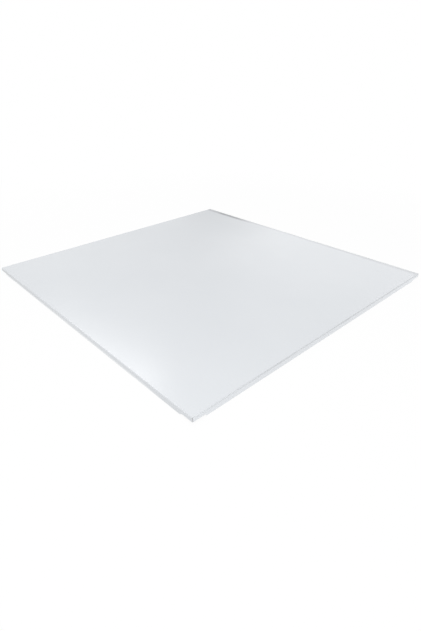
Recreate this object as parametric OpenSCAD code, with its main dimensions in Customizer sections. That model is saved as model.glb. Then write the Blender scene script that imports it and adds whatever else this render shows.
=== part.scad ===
// Square lay-in ceiling tile, folded from one coated sheet.
// The face lies level on top, and an upstand is folded down along each of its four sides.
// The origin is at the middle of the tile, in the plane of the rim that it rests on.

/* [Tile] */
// Side of the square tile, over the upstands
tile_w = 595; // [200:5:1200]
// Height of the tile, from the rim to the face
tile_h = 9.5; // [6:0.5:40]
// Thickness of the coated sheet
sheet_t = 0.6; // [0.4:0.05:1.2]
// Radius on the inside of each fold
fold_r = 0.6; // [0.2:0.1:2]

/* [Corners] */
// Width of the open mitred seam between two upstands
seam_w = 0.5; // [0.3:0.1:3]
// Length of the lowered stretch of upstand beside each corner
corner_len = 20; // [10:1:60]
// How far that stretch stops short of the rim
corner_lift = 3; // [1:0.1:3.5]
// Slope of the sheared end where the full upstand begins, in degrees from the rim
end_slope = 38; // [25:1:80]
// Radius of the round relief at the root of each sheared end
relief_r = 0.8; // [0.3:0.1:1.5]

/* [Hidden] */

$fn = 64;

// Radius on the outside of each fold
fold_out = fold_r + sheet_t;
// Half the tile, and half the flat face between the folds
half_w = tile_w / 2;
half_face = half_w - fold_out;
// Height of the line where the fold ends and the flat upstand begins
fold_line = tile_h - fold_out;
// How far each mitred end draws back along its side, to leave the seam open
mitre_back = seam_w / sqrt(2);
// Length that a sheared end takes along the rim
end_run = corner_lift / tan(end_slope);
// Length from the middle of a side to the root of a sheared end
root_x = half_w - corner_len;
// Spare length that lets a cutting shape pass clear of the sheet
clear = 1;

// Quarter ring of sheet that turns the face down into an upstand
module fold_section() {
    intersection() {
        difference() {
            circle(r = fold_out);
            circle(r = fold_r);
        }
        translate([-fold_out, 0]) square(fold_out);
    }
}

// Flat pattern of one upstand: lowered beside both corners, full height between them
module upstand_outline() {
    difference() {
        polygon([
            [-half_w, fold_line],
            [-half_w, corner_lift],
            [-root_x, corner_lift],
            [-root_x + end_run, 0],
            [root_x - end_run, 0],
            [root_x, corner_lift],
            [half_w, corner_lift],
            [half_w, fold_line]
        ]);
        for (side = [-1, 1])
            translate([side * root_x, corner_lift]) circle(r = relief_r);
    }
}

// The room that one side has between the mitre planes of its two corners
module mitre_room() {
    outer = half_w + clear;
    inner = half_face - clear;
    linear_extrude(tile_h + clear)
        polygon([
            [mitre_back - outer, -outer],
            [outer - mitre_back, -outer],
            [inner - mitre_back, -inner],
            [mitre_back - inner, -inner]
        ]);
}

// One folded side: the fold and its upstand, mitred at both ends
module folded_side() {
    intersection() {
        union() {
            translate([0, -half_face, fold_line])
                rotate([90, 0, 90])
                    linear_extrude(tile_w, center = true) fold_section();
            translate([0, sheet_t - half_w, 0])
                rotate([90, 0, 0])
                    linear_extrude(sheet_t) upstand_outline();
        }
        mitre_room();
    }
}

// The flat face, between the four folds
module flat_face() {
    translate([-half_face, -half_face, tile_h - sheet_t])
        cube([2 * half_face, 2 * half_face, sheet_t]);
}

// The whole tile, as it leaves the folding press
module tile_pan() {
    color([0.88, 0.9, 0.91]) {
        flat_face();
        for (turn = [0 : 90 : 270])
            rotate([0, 0, turn]) folded_side();
    }
}

tile_pan();
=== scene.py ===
# %% [markdown]
# # A folded sheet-metal ceiling tile
# The real tile is one square of coated sheet: a flat face, and a low upstand folded down along each
# side. It lies face up here, on the rim of its upstands. This lesson rebuilds the sheet as a smooth
# mesh around the fixed frame, gives each side of the sheet its own finish, and lights it softly.
# The frame comes first, because every place below is measured from it.

import math

import bmesh
import bpy
from mathutils import Matrix, Vector


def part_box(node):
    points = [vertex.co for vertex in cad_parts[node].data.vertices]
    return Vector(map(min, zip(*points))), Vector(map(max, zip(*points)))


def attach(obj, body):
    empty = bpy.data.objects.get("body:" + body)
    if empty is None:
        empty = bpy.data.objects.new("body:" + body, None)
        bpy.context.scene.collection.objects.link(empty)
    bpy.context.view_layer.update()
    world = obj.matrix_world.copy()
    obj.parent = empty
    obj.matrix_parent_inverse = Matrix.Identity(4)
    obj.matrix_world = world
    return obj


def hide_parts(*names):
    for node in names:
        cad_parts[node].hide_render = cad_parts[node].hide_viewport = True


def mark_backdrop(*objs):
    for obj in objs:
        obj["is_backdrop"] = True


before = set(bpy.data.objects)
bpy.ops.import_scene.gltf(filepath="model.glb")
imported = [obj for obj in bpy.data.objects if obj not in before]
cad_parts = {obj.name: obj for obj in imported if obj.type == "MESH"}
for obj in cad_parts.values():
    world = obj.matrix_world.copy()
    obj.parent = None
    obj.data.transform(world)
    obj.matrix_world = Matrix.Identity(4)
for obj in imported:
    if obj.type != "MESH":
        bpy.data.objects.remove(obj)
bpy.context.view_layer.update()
low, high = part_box("tile_pan")
print("frame nodes:", sorted(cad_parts))

# %% [markdown]
# The frame gives the tile's width and height. The finer sizes belong to the folding: how thick the
# sheet is, how tightly it is bent, how wide the corner seams stay open, and how the upstand steps up
# beside each corner so that two sheared ends don't collide. They are the sizes of the solid tile, in
# metres, because Blender's unit here is the metre.

# %% Sizes of the sheet
MM = 0.001
tile_w = high.x - low.x
tile_h = high.z - low.z
sheet_t = 0.6 * MM
fold_r = 0.6 * MM
seam_w = 0.5 * MM
corner_len = 20 * MM
corner_lift = 3.0 * MM
end_slope = math.radians(38)
relief_r = 0.8 * MM

half_w = tile_w / 2
fold_out = fold_r + sheet_t
half_face = half_w - fold_out
fold_line = tile_h - fold_out
mitre_back = seam_w / math.sqrt(2)
end_run = corner_lift / math.tan(end_slope)
root_x = half_w - corner_len
print(f"tile {tile_w / MM:.1f} mm wide and {tile_h / MM:.1f} mm high, sheet {sheet_t / MM:.1f} mm")

# %% [markdown]
# A folded sheet could be a solidified plane with bevelled edges, but a bevel can't follow the open
# seams and the stepped rim. So the sheet is laid out the way the press sees it: a grid of lines runs
# across the face and on down the upstands. The lines stand close together only where the outline
# turns, which is at the sheared end and its round relief. One of them stands a hair's breadth before
# the relief, so that the slope ends in a crisp corner.

# %% Lines along half a side
plain_steps = 36
relief_steps = 10
corner_steps = 4
hair = 0.02 * MM


def half_side_lines():
    """Places from the middle of a side to its seam, as lengths along the side."""
    slope_start = root_x - end_run
    seam_start = half_face - mitre_back
    places = [slope_start * k / plain_steps for k in range(plain_steps + 1)]
    places.append(root_x - relief_r - hair)
    for k in range(relief_steps + 1):
        places.append(root_x - relief_r * math.cos(math.pi * k / relief_steps))
    relief_end = places[-1]
    step = (seam_start - relief_end) / corner_steps
    for k in range(1, corner_steps + 1):
        places.append(relief_end + step * k)
    places.append(half_face)
    return places


half_lines = half_side_lines()
lines = [-place for place in reversed(half_lines[1:])] + half_lines
last = len(lines) - 1
print(f"{len(lines)} lines run across the face each way")

# %% [markdown]
# The rim isn't straight: along most of the side it reaches down to where the tile rests, then it
# slopes up at the sheared end, turns through the round relief and stays lifted as far as the seam.
# The lifted stretch could be cut out afterwards with a boolean, but that leaves ragged faces. So one
# function of the length along the side says where the rim is, and the mesh is made to end there.

# %% Height of the rim along a side


def rim_height(along):
    """Height of the cut edge at this length from the middle of the side."""
    place = abs(along)
    if place >= root_x + relief_r:
        return corner_lift
    if place >= root_x - relief_r:
        bite = relief_r ** 2 - (place - root_x) ** 2
        return corner_lift + math.sqrt(max(bite, 0))
    if place > root_x - end_run:
        return (place - root_x + end_run) * math.tan(end_slope)
    return 0.0


print(f"the rim lies at {rim_height(0) / MM:.1f} mm and at {rim_height(half_w) / MM:.1f} mm by the seam")

# %% [markdown]
# A thin sheet this wide is never quite flat. It hangs a little in the middle and has a few slow
# waves, which show only as a slight bend in what it mirrors. The waves die out before the folds,
# because the folded sides hold the sheet straight there. Two sines are enough for it, and they give
# the same sheet at every run.

# %% Hang of the face
hang = 0.45 * MM
wave = 0.12 * MM
long_wave = (4.1, 1.3, 0.0)
cross_wave = (-2.2, 3.3, 0.8)


def swell(u, v, turns):
    """One slow wave: its turns along both sides of half a face and its start, in radians."""
    along_u, along_v, start = turns
    return math.sin(along_u * u + along_v * v + start)


def face_drop(x, y):
    """How far the sheet hangs below its flat plane at this place."""
    u = x / half_face
    v = y / half_face
    hold = (1 - u * u) ** 2 * (1 - v * v) ** 2
    slow = swell(u, v, long_wave) + swell(u, v, cross_wave)
    return hold * (hang + wave * slow / 2)


print(f"the middle of the face hangs {face_drop(0, 0) / MM:.2f} mm low")

# %% [markdown]
# Each point of the sheet is placed twice, once on the coated side and once on the back, a sheet's
# thickness apart. Down the fold the two skins are arcs about one centre. Both skins stop at the same
# mitre plane at the corner, so the seam stays open and parallel through the sheet. A Solidify modifier
# would also give the thickness, but it would pinch these seams.

# %% Points of one skin of the sheet
fold_rows = 8
wall_rows = 4
strip_rows = fold_rows + wall_rows


def strip_point(side, column, row, depth):
    """A point on one folded side: row 0 is where the fold leaves the face, the last row is the rim."""
    radius = fold_out - depth
    turn = math.pi / 2 * min(row / fold_rows, 1)
    out = half_face + radius * math.sin(turn)
    along = lines[column]
    if column in (1, last - 1):
        along = math.copysign(out - mitre_back, along)
    height = fold_line + radius * math.cos(turn)
    if row > fold_rows:
        share = (row - fold_rows) / wall_rows
        height = fold_line + (rim_height(along) - fold_line) * share
    return Matrix.Rotation(math.pi / 2 * side, 3, "Z") @ Vector((along, -out, height))


def skin_points(depth):
    """Every point of the skin that lies this deep in the sheet, by its place in the layout."""
    points = {}
    for i, x in enumerate(lines):
        for j, y in enumerate(lines):
            points["face", i, j] = Vector((x, y, tile_h - depth - face_drop(x, y)))
    for side in range(4):
        for column in range(1, last):
            for row in range(1, strip_rows + 1):
                points[side, column, row] = strip_point(side, column, row, depth)
    return points


print(f"{len(skin_points(0))} points on each skin")

# %% [markdown]
# The two skins have the same layout, so one list of four-sided patches serves both. The face is a
# plain grid. Each folded side hangs on the outermost line of that grid, and shares its points there.
# Extruding the grid's border would make such sides too, but points with a place in the layout are easy
# to find again when the skins are joined.

# %% Patches of the layout


def face_key(side, column):
    """The point of the face's grid where this column of a folded side begins."""
    turned = [(column, 0), (last, column), (last - column, last), (0, last - column)]
    return ("face",) + turned[side]


def layout_patches():
    """Corners of every patch of a skin, by place in the layout."""
    found = []
    for i in range(last):
        for j in range(last):
            corners = [(i, j), (i + 1, j), (i + 1, j + 1), (i, j + 1)]
            found.append([("face",) + corner for corner in corners])
    for side in range(4):
        for column in range(1, last - 1):
            for row in range(strip_rows):
                upper = [(side, column, row), (side, column + 1, row)]
                if row == 0:
                    upper = [face_key(side, column), face_key(side, column + 1)]
                lower = [(side, column + 1, row + 1), (side, column, row + 1)]
                found.append(upper + lower)
    return found


patches = layout_patches()
print(f"{len(patches)} patches on each skin")

# %% [markdown]
# Wherever only one patch has a border, the sheet was cut: at the rim, in the seams and at the tips of
# the face. Such edges could be picked by hand in edit mode, but counting finds them all by itself: a
# border that turns up twice lies inside the sheet, and one that turns up once is free.

# %% Borders where the sheet was cut


def free_borders():
    """Borders that belong to one patch only, each with its two ends."""
    free = {}
    for patch in patches:
        for start, end in zip(patch, patch[1:] + patch[:1]):
            pair = frozenset((start, end))
            if pair in free:
                del free[pair]
            else:
                free[pair] = (start, end)
    return list(free.values())


cut_borders = free_borders()
print(f"{len(cut_borders)} borders are cut edges")

# %% [markdown]
# Now the sheet itself. Both skins are filled with the patches, and a narrow strip joins them along
# every cut border, so the mesh closes with no stray faces. A bmesh suits this, because it knows which
# faces meet at an edge: all of the sheet is shaded smooth, and only the edge between two finishes
# stays sharp, as a sheared edge is. The finished object takes the place of the frame's plain tile.

# %% Build the closed sheet
COAT, BACK, CUT = 0, 1, 2


def fill_skins(mesh):
    """Adds both skins and the strips between them, each face marked with its finish."""
    coat, back = [{key: mesh.verts.new(point) for key, point in skin_points(depth).items()}
                  for depth in (0.0, sheet_t)]
    for patch in patches:
        mesh.faces.new([coat[key] for key in patch]).material_index = COAT
        mesh.faces.new([back[key] for key in patch]).material_index = BACK
    for start, end in cut_borders:
        corners = [coat[start], coat[end], back[end], back[start]]
        mesh.faces.new(corners).material_index = CUT
    bmesh.ops.recalc_face_normals(mesh, faces=mesh.faces)


def new_piece(name, mesh):
    """Turns a bmesh into an object of the scene."""
    data = bpy.data.meshes.new(name)
    mesh.to_mesh(data)
    mesh.free()
    piece = bpy.data.objects.new(name, data)
    bpy.context.scene.collection.objects.link(piece)
    return piece


def build_sheet(name):
    """The whole folded sheet as one closed mesh."""
    mesh = bmesh.new()
    fill_skins(mesh)
    for face in mesh.faces:
        face.smooth = True
    for edge in mesh.edges:
        kinds = {face.material_index for face in edge.link_faces}
        edge.smooth = len(kinds) == 1
    return new_piece(name, mesh)


tile_sheet = build_sheet("tile_sheet")
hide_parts("tile_pan")
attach(tile_sheet, "root")
print(f"the sheet has {len(tile_sheet.data.polygons)} faces")

# %% [markdown]
# Finishes are written as sums. A small class wraps one socket of a node tree, and Python's own
# operators on it add Math nodes, so a mask reads like the formula it is. Any other node comes from
# one method, which sets the node up before it fills the sockets. The same nodes could be wired by
# hand in the shader editor, but a formula is shorter and easier to change.

# %% Sockets as Python values


class Value:
    """One socket of a node tree."""

    def __init__(self, tree, socket=None):
        self.tree = tree
        self.socket = socket

    def node(self, kind, settings=None, sockets=None, out=0):
        """Adds a node, sets it up, fills or links its sockets, and gives back one of its outputs."""
        made = self.tree.nodes.new(kind)
        for name, setting in (settings or {}).items():
            setattr(made, name, setting)
        for name, value in (sockets or {}).items():
            if isinstance(value, Value):
                self.tree.links.new(value.socket, made.inputs[name])
            else:
                made.inputs[name].default_value = value
        return Value(self.tree, made.outputs[out] if made.outputs else None)

    def every_output(self):
        """All outputs of the node that this socket belongs to, by name."""
        return {output.name: Value(self.tree, output) for output in self.socket.node.outputs}

    def math(self, operation, *terms):
        return self.node("ShaderNodeMath", {"operation": operation}, dict(enumerate(terms)))

    def __add__(self, other):
        return self.math("ADD", self, other)

    __radd__ = __add__

    def __mul__(self, other):
        return self.math("MULTIPLY", self, other)

    __rmul__ = __mul__

    def __sub__(self, other):
        return self.math("SUBTRACT", self, other)

    def __rsub__(self, other):
        return self.math("SUBTRACT", other, self)

    def __abs__(self):
        return self.math("ABSOLUTE", self)

    def most(self, other):
        return self.math("MAXIMUM", self, other)

    def least(self, other):
        return self.math("MINIMUM", self, other)

    def rise(self, start, end):
        """0 below start, 1 above end, with a smooth ramp between them."""
        settings = {"interpolation_type": "SMOOTHSTEP"}
        return self.node("ShaderNodeMapRange", settings, {0: self, 1: start, 2: end, 3: 0.0, 4: 1.0})

    def patchy(self, steady, added):
        """A steady share, and this much more of it where the pattern is strong."""
        return steady + added * self

    def tint(self, under, over):
        """The colour under where this mask is 0, and the colour over where it is 1."""
        settings = {"data_type": "RGBA"}
        return self.node("ShaderNodeMix", settings, {0: self, 6: under, 7: over}, out=2)

    def vector(self, operation, *terms, out="Vector"):
        return self.node("ShaderNodeVectorMath", {"operation": operation}, dict(enumerate(terms)), out)

    def along(self, direction):
        """How far this vector reaches along a fixed direction."""
        return self.vector("DOT_PRODUCT", self, direction, out="Value")


print("sockets can be added, multiplied and mixed")

# %% [markdown]
# A few helpers start and end a material. All patterns are noise in the tile's own lengths, so they
# need no picture and no unwrapping, and they stay in place when the view changes. Where a pattern has
# to run in one direction, like a roller's streaks, each length gets its own number of lumps.

# %% Patterns, and the start and end of a finish


def noise(place, scale, detail=2.0, roughness=0.5):
    """A soft random pattern about 0.5, with this many lumps to the metre."""
    sockets = {"Vector": place, "Scale": scale, "Detail": detail, "Roughness": roughness}
    return place.node("ShaderNodeTexNoise", {"noise_dimensions": "3D"}, sockets)


def streaked(place, lumps, detail=2.0, roughness=0.5):
    """The same pattern, with its own number of lumps to the metre along each length."""
    return noise(place.vector("MULTIPLY", place, lumps), 1.0, detail, roughness)


def bumps(heights, strength, depth):
    """Normals that these heights bend, for relief too fine for the mesh."""
    sockets = {"Strength": strength, "Distance": depth, "Height": heights}
    return heights.node("ShaderNodeBump", sockets=sockets)


def new_finish(name):
    """An empty material, and the place on the tile that its patterns start from."""
    material = bpy.data.materials.new(name)
    material.use_nodes = True
    material.node_tree.nodes.clear()
    return material, Value(material.node_tree).node("ShaderNodeTexCoord", out="Object")


def lengths_of(place):
    """The place's three lengths, along X, Y and Z."""
    return place.node("ShaderNodeSeparateXYZ", sockets={0: place}).every_output().values()


def close_finish(place, sockets):
    """Ends a material with its shader and output."""
    shader = place.node("ShaderNodeBsdfPrincipled", sockets=sockets)
    place.node("ShaderNodeOutputMaterial", sockets={"Surface": shader})


print("noise can be even or streaked")

# %% [markdown]
# Different marks lie on the flat top, on the folds and on the walls of the upstands. A mask is 1 inside
# its zone and 0 outside. It could be painted on by hand, but a formula of the three lengths stays sharp
# close up and changes with one number. The two right-hand sides get more painted shade than the other
# two, and a diagonal across the tile parts them.

# %% Zones of the coat
top_heights = (tile_h - 1.0 * MM, tile_h - 0.4 * MM)
fold_heights = (tile_h - 2.4 * MM, tile_h - 1.2 * MM)
fold_lengths = (half_face - 0.8 * MM, half_face + 0.4 * MM)
wall_heights = (tile_h - 3.0 * MM, tile_h - 1.5 * MM)
diagonal_band = (-40 * MM, 40 * MM)


def coat_zones(x, y, z):
    """Masks of the flat top, the folds, the walls and the two right-hand sides."""
    border = abs(x).most(abs(y))
    on_top = z.rise(*top_heights)
    on_fold = border.rise(*fold_lengths) * z.rise(*fold_heights)
    on_wall = 1 - z.rise(*wall_heights)
    right_sides = (x - y).rise(*diagonal_band)
    return on_top, on_fold, on_wall, right_sides


print(f"walls begin {(tile_h - wall_heights[0]) / MM:.1f} mm below the face")

# %% [markdown]
# Along the two right-hand folds a fine greyer line of painted shade stands for the dark crease of the
# bend. The line is uneven, and it fades toward the corners. A faint darker band lies beside the far fold,
# most of all at its right end. Each is a mask times a share that a smeary noise makes uneven, because an
# even line would look drawn.

# %% Painted shade line at the folds, and a darker far band
# Share of painted shade along the right-hand folds
fold_shade_share = {"steady": 0.3, "added": 0.6}
corner_fade = 0.4
fade_lengths = (120 * MM, 290 * MM)
far_band = (half_face - 11 * MM, half_face - 6 * MM)
far_band_share = {"steady": 0.16, "added": 0.2}
right_end_share = 0.14
right_lengths = (-200 * MM, 50 * MM)


def painted_fold_shade(right_folds, corner, smears):
    """Painted shade line along the right-hand folds, fainter toward the corners."""
    fade = 1 - corner_fade * corner.rise(*fade_lengths)
    return right_folds * fade * smears.patchy(**fold_shade_share)


def darker_far_band(x, y, on_top, smears):
    """Faint band beside the far fold, stronger at its right end."""
    right_end = 1 - y.rise(*right_lengths)
    return x.rise(*far_band) * on_top * (smears.patchy(**far_band_share) + right_end_share * right_end)


print(f"the far band is {(half_face - far_band[0]) / MM:.0f} mm wide")

# %% [markdown]
# Near the far corner a darker streaky band runs beside the fold. It is streaky along the edge, so its
# noise has many lumps across the edge and few along it. A darker line lies in its outer half, and the
# last few millimetres at the fold are lighter again. It could be brushed on in texture paint, but a mask
# of plain lengths needs no picture.

# %% Darker streak beside the far fold
streak_start = (120 * MM, 200 * MM)
streak_end = (235 * MM, 285 * MM)
end_fade = 0.65
near_fold_edge = (half_face - 5 * MM, half_face - 2 * MM)
near_fold_share = 0.7
dark_streak_lumps = (700.0, 28.0, 700.0)
dark_streak_tones = (0.34, 0.56)
streak_band = (half_face - 17 * MM, half_face - 9 * MM)
streak_strength = {"steady": 0.5, "added": 0.3}
dark_line_band = (half_face - 12 * MM, half_face - 7 * MM)
dark_line_share = {"steady": 0.2, "added": 0.3}


def far_dark_streak(place, x, y, on_top):
    """Masks of the darker streak and of the darker line in it."""
    stretch = y.rise(*streak_start) * (1 - end_fade * y.rise(*streak_end))
    stretch = stretch * (1 - near_fold_share * x.rise(*near_fold_edge))
    streak_pattern = streaked(place, dark_streak_lumps, detail=3.0).rise(*dark_streak_tones)
    dark_streak = x.rise(*streak_band) * on_top * stretch * streak_pattern.patchy(**streak_strength)
    dark_line = x.rise(*dark_line_band) * on_top * stretch * streak_pattern.patchy(**dark_line_share)
    return dark_streak, dark_line


print(f"the smudge begins {(half_face - streak_band[0]) / MM:.0f} mm inside the fold")

# %% [markdown]
# The walls get less light than the face, and this shade is painted into their colour: they are a little
# greyer than the face, the two right-hand ones more in their middle, and all of them more toward the far
# side of the tile, most of all at the left corner. The lower half of the two left-hand walls is painted
# paler, as light bounced up from the floor brightens it. These are slow changes over a hand's breadth or
# more, so plain ramps along the walls give them.

# %% Painted shade and painted light on the walls
# Shares of painted shade on the walls
wall_shade = 0.06
mid_wall_shade = 0.13
mid_wall_lengths = (100 * MM, 260 * MM)
far_wall_shade = 0.22
far_wall_lengths = (0.0, 250 * MM)
left_corner_shade = 0.18
left_along = (220 * MM, 280 * MM)
left_across = (-290 * MM, -270 * MM)
# Where painted light makes the lower left-hand walls paler
wall_light_heights = (1.5 * MM, 4.0 * MM)
wall_light_lengths = (-250 * MM, -190 * MM)


def painted_wall_shade(x, y, corner, on_wall, right_sides):
    """How much painted shade darkens the walls beyond the face."""
    mid_shade = mid_wall_shade * right_sides * (1 - corner.rise(*mid_wall_lengths))
    left_end = y.rise(*left_along) * (1 - x.rise(*left_across))
    return on_wall * (wall_shade + mid_shade + far_wall_shade * y.rise(*far_wall_lengths) + left_corner_shade * left_end)


def painted_wall_light(y, z, right_sides):
    """Painted light: the paler lower half of the two left-hand walls."""
    return (1 - right_sides) * (1 - z.rise(*wall_light_heights)) * y.rise(*wall_light_lengths)


print(f"clean walls are paler up to {wall_light_heights[1] / MM:.0f} mm above the rim")

# %% [markdown]
# The coated side is a satin white, a little cool. It was rolled or sprayed on, so close up it has the
# fine dimples of paint, and from further off its colour and gloss are faintly cloudy where it was wiped.
# At the corner tips the coat is chipped to the dark metal. The masks above, the painted shade and light
# among them, are laid over each other like coats of paint, each as one mix of two colours.

# %% Satin white coat
coat_colour = (0.704, 0.727, 0.755, 1)
cloud_colour = (0.688, 0.712, 0.741, 1)
# Grey for the painted shade of folds and walls, and for the darker far band and streak
shade_and_streak_colour = (0.44, 0.45, 0.47, 1)
# Pale for painted light on the lower left-hand walls
wall_light_colour = (0.80, 0.82, 0.84, 1)
dark_colour = (0.07, 0.07, 0.075, 1)
cloud_tones = (0.35, 0.68)
tip_lengths = (half_w - 1.3 * MM, half_w - 0.5 * MM)
chip_tones = (0.45, 0.6)
coat_roughness = 0.17
cloud_roughness = 0.06
smear_roughness = 0.05
fold_roughness = 0.12
ripple_share = 0.6


def white_coat():
    """The finish of the coated side."""
    material, place = new_finish("white_coat_finish")
    x, y, z = lengths_of(place)
    on_top, on_fold, on_wall, right_sides = coat_zones(x, y, z)
    corner = abs(x).least(abs(y))
    right_folds = on_fold * right_sides
    clouds = noise(place, scale=5.0, detail=3.0)
    smears = noise(place, scale=26.0, detail=4.0, roughness=0.6)
    dark_streak, dark_line = far_dark_streak(place, x, y, on_top)
    # Grey mix: painted shade on the right-hand folds and on the walls, with the darker far band and
    # streak
    shade_and_streak = painted_fold_shade(right_folds, corner, smears).most(darker_far_band(x, y, on_top, smears))
    shade_and_streak = shade_and_streak.most(dark_streak).most(painted_wall_shade(x, y, corner, on_wall, right_sides))
    chips = corner.rise(*tip_lengths) * noise(place, scale=1800.0).rise(*chip_tones)
    colour = clouds.rise(*cloud_tones).tint(coat_colour, cloud_colour)
    colour = shade_and_streak.tint(colour, shade_and_streak_colour)
    # Painted light: the lower half of the left-hand walls is mixed toward a paler white
    colour = painted_wall_light(y, z, right_sides).tint(colour, wall_light_colour)
    colour = chips.most(dark_line).tint(colour, dark_colour)
    gloss = coat_roughness + cloud_roughness * clouds + smear_roughness * smears + fold_roughness * right_folds
    dimples = noise(place, scale=520.0, detail=1.0) + ripple_share * noise(place, scale=160.0, detail=1.0)
    normal = bumps(dimples, strength=0.05, depth=0.3 * MM)
    close_finish(place, {"Base Color": colour, "Roughness": gloss, "IOR": 1.5, "Normal": normal})
    return material


tile_sheet.data.materials.append(white_coat())
print("coated side:", tile_sheet.data.materials[COAT].name)

# %% [markdown]
# The back isn't seen once the tile is up, so it has only a thin greyish service coat. The roller laid
# it on in one direction, which leaves long faint streaks and a duller, drier surface. One streaked
# noise drives colour, gloss and relief together, as the roller did.

# %% Service coat of the back
back_colour = (0.60, 0.61, 0.615, 1)
streak_colour = (0.52, 0.53, 0.54, 1)
streak_lumps = (6.0, 240.0, 60.0)
streak_share = 0.6
streak_tones = (0.38, 0.66)
back_roughness = 0.44
uneven_roughness = 0.10
grain_share = 0.4


def back_coat():
    """The finish of the hidden side."""
    material, place = new_finish("back_coat_finish")
    streaks = streaked(place, streak_lumps, detail=3.0, roughness=0.55)
    clouds = noise(place, scale=7.0, detail=3.0)
    tone = streaks * streak_share + clouds * (1 - streak_share)
    colour = tone.rise(*streak_tones).tint(back_colour, streak_colour)
    gloss = back_roughness + uneven_roughness * clouds + uneven_roughness * streaks
    relief = streaks + grain_share * noise(place, scale=600.0, detail=1.0)
    normal = bumps(relief, strength=0.06, depth=0.2 * MM)
    close_finish(place, {"Base Color": colour, "Roughness": gloss, "IOR": 1.45, "Normal": normal})
    return material


tile_sheet.data.materials.append(back_coat())
print("back:", tile_sheet.data.materials[BACK].name)

# %% [markdown]
# A shear cuts through coat and steel together, so the cut edges show bare zinc-coated steel. The blade
# leaves short marks across the thickness of the sheet. The edge is a hair wide, so a metal with these
# marks in its colour and gloss is all it needs.

# %% Bare cut edge
steel_colour = (0.62, 0.63, 0.64, 1)
dull_colour = (0.44, 0.45, 0.46, 1)
mark_lumps = (1800.0, 1800.0, 300.0)
mark_share = 0.5
mark_tones = (0.35, 0.65)
steel_roughness = 0.32
mark_roughness = 0.2


def cut_edge():
    """The finish of the sheared edges."""
    material, place = new_finish("cut_edge_finish")
    marks = streaked(place, mark_lumps)
    patina = noise(place, scale=60.0, detail=3.0)
    tone = marks * mark_share + patina * (1 - mark_share)
    colour = tone.rise(*mark_tones).tint(steel_colour, dull_colour)
    gloss = steel_roughness + mark_roughness * marks
    normal = bumps(marks, strength=0.2, depth=0.05 * MM)
    close_finish(place, {"Base Color": colour, "Roughness": gloss, "Metallic": 0.85, "Normal": normal})
    return material


tile_sheet.data.materials.append(cut_edge())
print("cut edges:", tile_sheet.data.materials[CUT].name)

# %% [markdown]
# Light that the eye sees and light that only fills the scene can be told apart: a Light Path node says
# how a ray came. Rays straight from the camera, off something glossy or through glass see the stage as
# it should look. All other rays carry soft light, and there the stage may have another brightness.

# %% How a ray came
sight_names = ("Is Camera Ray", "Is Glossy Ray", "Is Transmission Ray")


def sight_rays(tree):
    """Three masks, for rays from the camera, off something glossy and through glass."""
    paths = tree.node("ShaderNodeLightPath").every_output()
    return [paths[name] for name in sight_names]


print("seen by sight:", ", ".join(sight_names))

# %% [markdown]
# The stage is a plain pale floor. A shadow catcher could stand in for it, but that leaves an empty
# picture behind the shadow. So the floor is lit paint and steady white mixed: to sight it is close to
# white, and still keeps the soft shadow of the tile. Under the tile the share of paint is larger, so
# that the seams and the lifted corners look dark. Soft light gets a steady brightness from the floor
# beyond the tile, which lights the walls evenly and without grain. From below the floor is see-through,
# and so the back of the tile can be looked at.

# %% Pale floor
white = (1, 1, 1, 1)
floor_half = 6.0
floor_gap = 0.1 * MM
floor_colour = (0.94, 0.94, 0.94, 1)
bounce_colour = (0.92, 0.92, 0.92, 1)
under_lengths = (half_w - 3.8 * MM, half_w - 2.4 * MM)
under_white = 0.35
near_white = 0.94
shadow_reach = (tile_w * 0.8, tile_w * 1.8)


def floor_finish():
    """White to sight, with the shadow kept, and see-through from below."""
    material, place = new_finish("floor_finish")
    x, y, _ = lengths_of(place)
    camera, glossy, through = sight_rays(place)
    sight = camera.most(glossy).most(through)
    outside = abs(x).most(abs(y)).rise(*under_lengths)
    away = place.vector("LENGTH", place, out="Value").rise(*shadow_reach)
    steady = outside.patchy(under_white, 1 - under_white) * away.patchy(near_white, 1 - near_white)
    shown = sight * steady + (1 - sight) * outside
    paint = place.node("ShaderNodeBsdfDiffuse", sockets={"Color": floor_colour})
    glow = place.node("ShaderNodeEmission", sockets={"Color": sight.tint(bounce_colour, white)})
    above = place.node("ShaderNodeMixShader", sockets={0: shown, 1: paint, 2: glow})
    below = place.node("ShaderNodeNewGeometry", out="Backfacing")
    passed = place.node("ShaderNodeLightPath", out="Transparent Depth").least(1.0)
    clear = place.node("ShaderNodeBsdfTransparent")
    both = place.node("ShaderNodeMixShader", sockets={0: below.most(passed), 1: above, 2: clear})
    place.node("ShaderNodeOutputMaterial", sockets={"Surface": both})
    return material


def pale_floor():
    """One large square just below the rim."""
    mesh = bmesh.new()
    bmesh.ops.create_grid(mesh, x_segments=1, y_segments=1, size=floor_half)
    floor = new_piece("floor", mesh)
    floor.location.z = -floor_gap
    floor.data.materials.append(floor_finish())
    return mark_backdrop(floor)


pale_floor()
print(f"the floor reaches {floor_half:.0f} m each way")

# %% [markdown]
# Room, lamps and camera all lie in some direction from the tile. A heading as on a map and a rise above
# the floor are easier to read and to change than three lengths, so one function turns the two angles
# into a direction.

# %% Directions from the tile


def way(heading, rise):
    """Direction at this heading, clockwise from +Y, and this rise above the floor, in degrees."""
    turn = math.radians(heading)
    lift = math.radians(rise)
    return Vector((math.sin(turn) * math.cos(lift), math.cos(turn) * math.cos(lift), math.sin(lift)))


up_way = way(0, 90)
behind_way = way(0, 0)
dark_way = way(46.0, 12.5)
right_way = way(102.0, 0)
left_way = way(-44.6, 0)
print("the dark place of the room lies toward", [round(part, 2) for part in dark_way])

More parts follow.
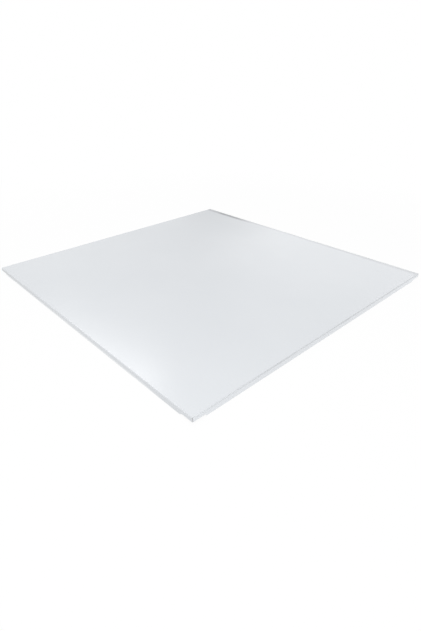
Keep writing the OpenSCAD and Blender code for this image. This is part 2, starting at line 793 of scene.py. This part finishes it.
# %% [markdown]
# A satin white face shows the room that it mirrors, and on a plain face this is most of what there is
# to see. So the room is plain white, with four large soft changes of brightness: a darker place low
# down beyond the far corner, a brighter stretch behind on the right, a slightly brighter left side and
# a bright ceiling. Screens could be built for it, but ramps by direction are smoother and cost no time.
# Angles are in degrees, away from the middle of the dark place or up from the floor. A share says how
# far a direction leans to one side: 0 is square to it, and 1 is straight toward it.

# %% What the room looks like in a mirror
dark_depth = 0.8
dark_cone = (7.4, 4.2)
right_gain = 0.84
right_share = (0.44, 0.57)
behind_share = (0.0, 0.22)
low_rise = (8.0, 15.0)
high_rise = (21.5, 30.5)
left_gain = 0.16
left_share = (0.12, 0.36)
ceiling_gain = 0.9
ceiling_rise = (34.0, 42.0)


def risen(toward, angles):
    """0 for directions that rise less than the first angle, and 1 for more than the second."""
    return toward.along(up_way).rise(*[math.sin(math.radians(angle)) for angle in angles])


def mirrored_room(toward):
    """Brightness of the room in this direction."""
    cone = [math.cos(math.radians(angle)) for angle in dark_cone]
    dark = dark_depth * toward.along(dark_way).rise(*cone)
    right = toward.along(right_way).rise(*right_share) * toward.along(behind_way).rise(*behind_share)
    right = right * (risen(toward, low_rise) * (1 - risen(toward, high_rise)))
    left = toward.along(left_way).rise(*left_share)
    ceiling = risen(toward, ceiling_rise)
    return (1 + right_gain * right + left_gain * left + ceiling_gain * ceiling) * (1 - dark)


print(f"the dark place keeps {1 - dark_depth:.0%} of the room's white")

# %% [markdown]
# The world is the easiest place for such a room, because it needs no walls and throws no shadow. The
# camera itself sees plain white, mirrors see the room above, and soft light gets one even brightness.

# %% Plain room
room_light = 0.67


def plain_room():
    """A world of even soft light, white to the camera."""
    world = bpy.data.worlds.new("room")
    world.use_nodes = True
    world.node_tree.nodes.clear()
    tree = Value(world.node_tree)
    toward = tree.node("ShaderNodeTexCoord", out="Generated")
    camera, glossy, through = sight_rays(tree)
    mirrored = glossy.most(through) * mirrored_room(toward)
    soft = (1 - camera.most(glossy).most(through)) * room_light
    strength = camera + mirrored + soft
    light = tree.node("ShaderNodeBackground", sockets={"Color": white, "Strength": strength})
    tree.node("ShaderNodeOutputWorld", sockets={"Surface": light})
    bpy.context.scene.world = world


plain_room()
print("world:", bpy.context.scene.world.name)

# %% [markdown]
# Three softboxes add what an even room can't give. Small bare lamps would throw hard shadows and leave
# sharp glints on a satin coat. One box above models the face, one low in front lights the walls that
# the camera sees and doesn't show in the face, and one behind is mirrored as a bright patch along the
# left edge. That one is tilted, so that its mirror image lies along the edge. A lamp's power grows with
# its size here, so the brightness of its cloth can be set by itself.

# %% Soft lamps
lit_edge = Vector((-0.288, -0.13, tile_h))
back_lamp_way = way(23.4, 40.2)
back_lamp_far = 1.7
back_lamp_tilt = math.radians(-32)


def soft_lamp(name, place, aim, width, height, radiance, mirrored=True, tilt=0.0):
    """A softbox at a place, turned to its aim, with the brightness of its cloth."""
    lamp = bpy.data.lights.new(name, "AREA")
    lamp.shape = "RECTANGLE"
    lamp.size = width
    lamp.size_y = height
    lamp.energy = radiance * math.pi * width * height
    holder = bpy.data.objects.new(name, lamp)
    holder.location = place
    facing = (Vector(aim) - Vector(place)).to_track_quat("-Z", "Y").to_matrix()
    holder.rotation_euler = (facing @ Matrix.Rotation(tilt, 3, "Z")).to_euler()
    holder.visible_glossy = mirrored
    bpy.context.scene.collection.objects.link(holder)


soft_lamp("top_lamp", place=(-0.75, -0.62, 1.1), aim=(-0.1, 0, 0), width=1.2, height=1.2, radiance=1.7)
soft_lamp("front_lamp", place=(0.3, -2.1, 0.2), aim=(0, 0, 0), width=1.6, height=0.3, radiance=5.0,
          mirrored=False)
soft_lamp("back_lamp", place=lit_edge + back_lamp_far * back_lamp_way, aim=lit_edge,
          width=0.62, height=0.44, radiance=3.4, tilt=back_lamp_tilt)
print("lamps:", [lamp.name for lamp in bpy.data.lights])

# %% [markdown]
# The camera stands close to the near corner and looks down across the tile with a wide lens. It could
# be turned by eye, but its place also follows from the outline of the square as the picture shows it,
# and that comes closer. The picture's axis lies a little left of its middle, so the lens is shifted by
# that much and no more.

# %% Camera
image_w = 421
image_h = 631
focal_px = 435.7
axis_px = 195.0
sensor = 36.0
near_clip = 0.01
camera_heading = 221.53
camera_rise = 30.45
camera_roll = math.radians(-0.63)
camera_far = 724.6 * MM
aim_point = Vector((-134.3 * MM, -119.7 * MM, tile_h))


def look_at_tile():
    """Sets up the lens, and stands the camera back from the point that it aims at."""
    lens = bpy.data.cameras.new("camera")
    lens.sensor_width = sensor
    lens.lens = focal_px / image_h * sensor
    lens.shift_x = (image_w / 2 - axis_px) / image_h
    lens.clip_start = near_clip
    back = way(camera_heading, camera_rise)
    level = up_way.cross(back).normalized()
    upright = back.cross(level)
    right = level * math.cos(camera_roll) + upright * math.sin(camera_roll)
    up = back.cross(right)
    camera = bpy.data.objects.new("camera", lens)
    turned = Matrix((right, up, back)).transposed().to_4x4()
    camera.matrix_world = Matrix.Translation(aim_point + back * camera_far) @ turned
    bpy.context.scene.collection.objects.link(camera)
    bpy.context.scene.camera = camera


look_at_tile()
bpy.context.scene.view_settings.view_transform = "Standard"
print(f"camera at {[round(c, 3) for c in bpy.context.scene.camera.location]}")
